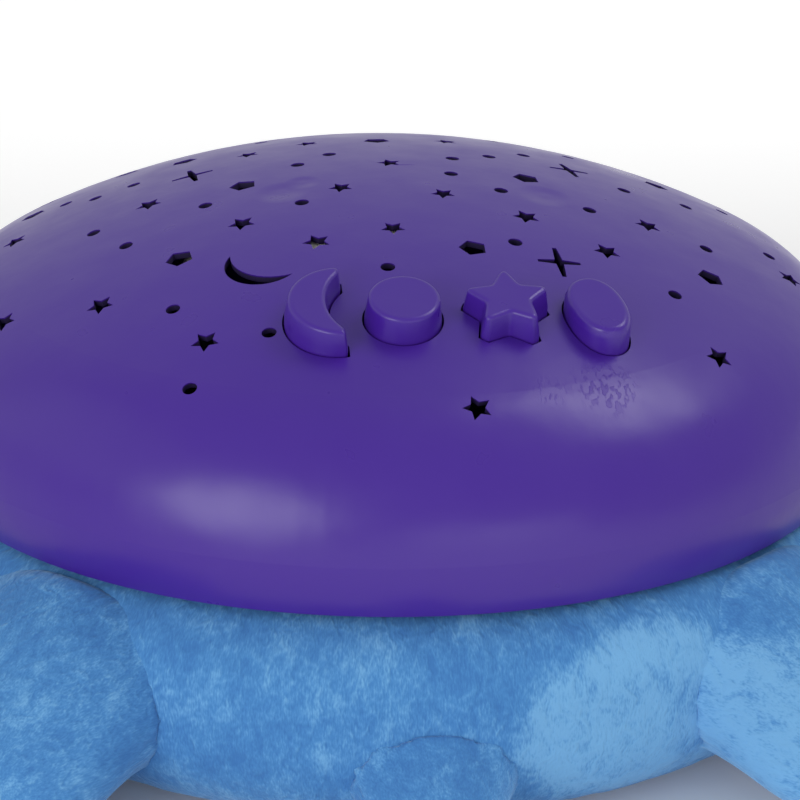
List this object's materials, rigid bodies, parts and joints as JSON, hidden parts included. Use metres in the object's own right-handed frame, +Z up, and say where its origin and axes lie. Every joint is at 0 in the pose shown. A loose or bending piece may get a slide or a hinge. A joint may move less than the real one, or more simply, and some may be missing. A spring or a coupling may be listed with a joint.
{
  "type": "star night light projector",
  "caption": "Plush turtle night light: a domed shell pierced with stars, four push buttons on its front and a battery door behind a belly flap.",
  "frame": {"origin": "on the shell's axis, at the surface the toy rests on", "axes": "+Z up, +Y towards the turtle's head, +X to its right seen from the tail; the buttons face -Y"},
  "size_m": [0.2722, 0.2934, 0.1048],
  "materials": {
    "shell": "glossy moulded plastic with soft wear",
    "button": "glossy moulded plastic",
    "housing": "fine matt texture",
    "switch": "matt",
    "board": "lacquered circuit board",
    "component": "matt",
    "ribbon": "ribbon cable sheath",
    "wire": "wire sheath",
    "tower": "cream moulded plastic",
    "lamp_board": "white lacquered circuit board",
    "lamp_blue": "clear tinted lamp",
    "lamp_green": "clear tinted lamp",
    "lamp_amber": "clear tinted lamp",
    "screw": "plated steel",
    "contact": "nickel-plated spring steel",
    "cell": "plain foil sleeve",
    "plush": "short-pile plush",
    "eye": "polished",
    "tape": "hook-and-loop tape"
  },
  "bodies": {
    "body": {"dome_shell": "shell", "switch_bodies": "contact", "button_board": "board", "button_leads": "ribbon", "base_housing": "housing", "housing_screws": "screw", "board_screws": "screw", "main_board": "board", "board_components": "component", "light_tower": "tower", "led_board": "lamp_board", "blue_led": "lamp_blue", "green_led": "lamp_green", "amber_led": "lamp_amber", "led_leads": "ribbon", "battery_1": "cell", "battery_2": "cell", "battery_3": "cell", "spring_contacts": "contact", "flat_contacts": "contact", "battery_leads": "wire", "plush_body": "plush", "plush_head": "plush", "eyes": "eye", "tail": "plush", "left_front_flipper": "plush", "right_front_flipper": "plush", "left_rear_flipper": "plush", "right_rear_flipper": "plush", "loop_strip": "tape"},
    "moon_key": {"moon_button": "button", "moon_plunger": "switch"},
    "round_key": {"round_button": "button", "round_plunger": "switch"},
    "star_key": {"star_button": "button", "star_plunger": "switch"},
    "oval_key": {"oval_button": "button", "oval_plunger": "switch"},
    "flap": {"belly_flap": "plush", "hook_strip": "tape"},
    "door": {"battery_door": "housing", "battery_door_screw": "screw"}
  },
  "joints": [
    {"name": "moon_press", "type": "slide", "parent": "body", "child": "moon_key", "axis": [0, 0.3481, -0.9374], "range_m": [0, 0.001], "stiffness_N_per_m": 300, "springref_m": -0.003},
    {"name": "round_press", "type": "slide", "parent": "body", "child": "round_key", "axis": [0, 0.3481, -0.9374], "range_m": [0, 0.001], "stiffness_N_per_m": 300, "springref_m": -0.003},
    {"name": "star_press", "type": "slide", "parent": "body", "child": "star_key", "axis": [0, 0.3481, -0.9374], "range_m": [0, 0.001], "stiffness_N_per_m": 300, "springref_m": -0.003},
    {"name": "oval_press", "type": "slide", "parent": "body", "child": "oval_key", "axis": [0, 0.3481, -0.9374], "range_m": [0, 0.001], "stiffness_N_per_m": 300, "springref_m": -0.003},
    {"name": "flap_hinge", "type": "hinge", "parent": "body", "child": "flap", "pos_m": [0, 0.04045, 0], "axis": [1, 0, 0], "range_deg": [0, 110]},
    {"name": "door_hinge", "type": "hinge", "parent": "body", "child": "door", "pos_m": [0, 0.02745, 0.0142], "axis": [1, 0, 0], "range_deg": [0, 70]}
  ],
  "couplings": [
    {"joint": "door_hinge", "follows": "flap_hinge", "ratio": 0.6}
  ]
}
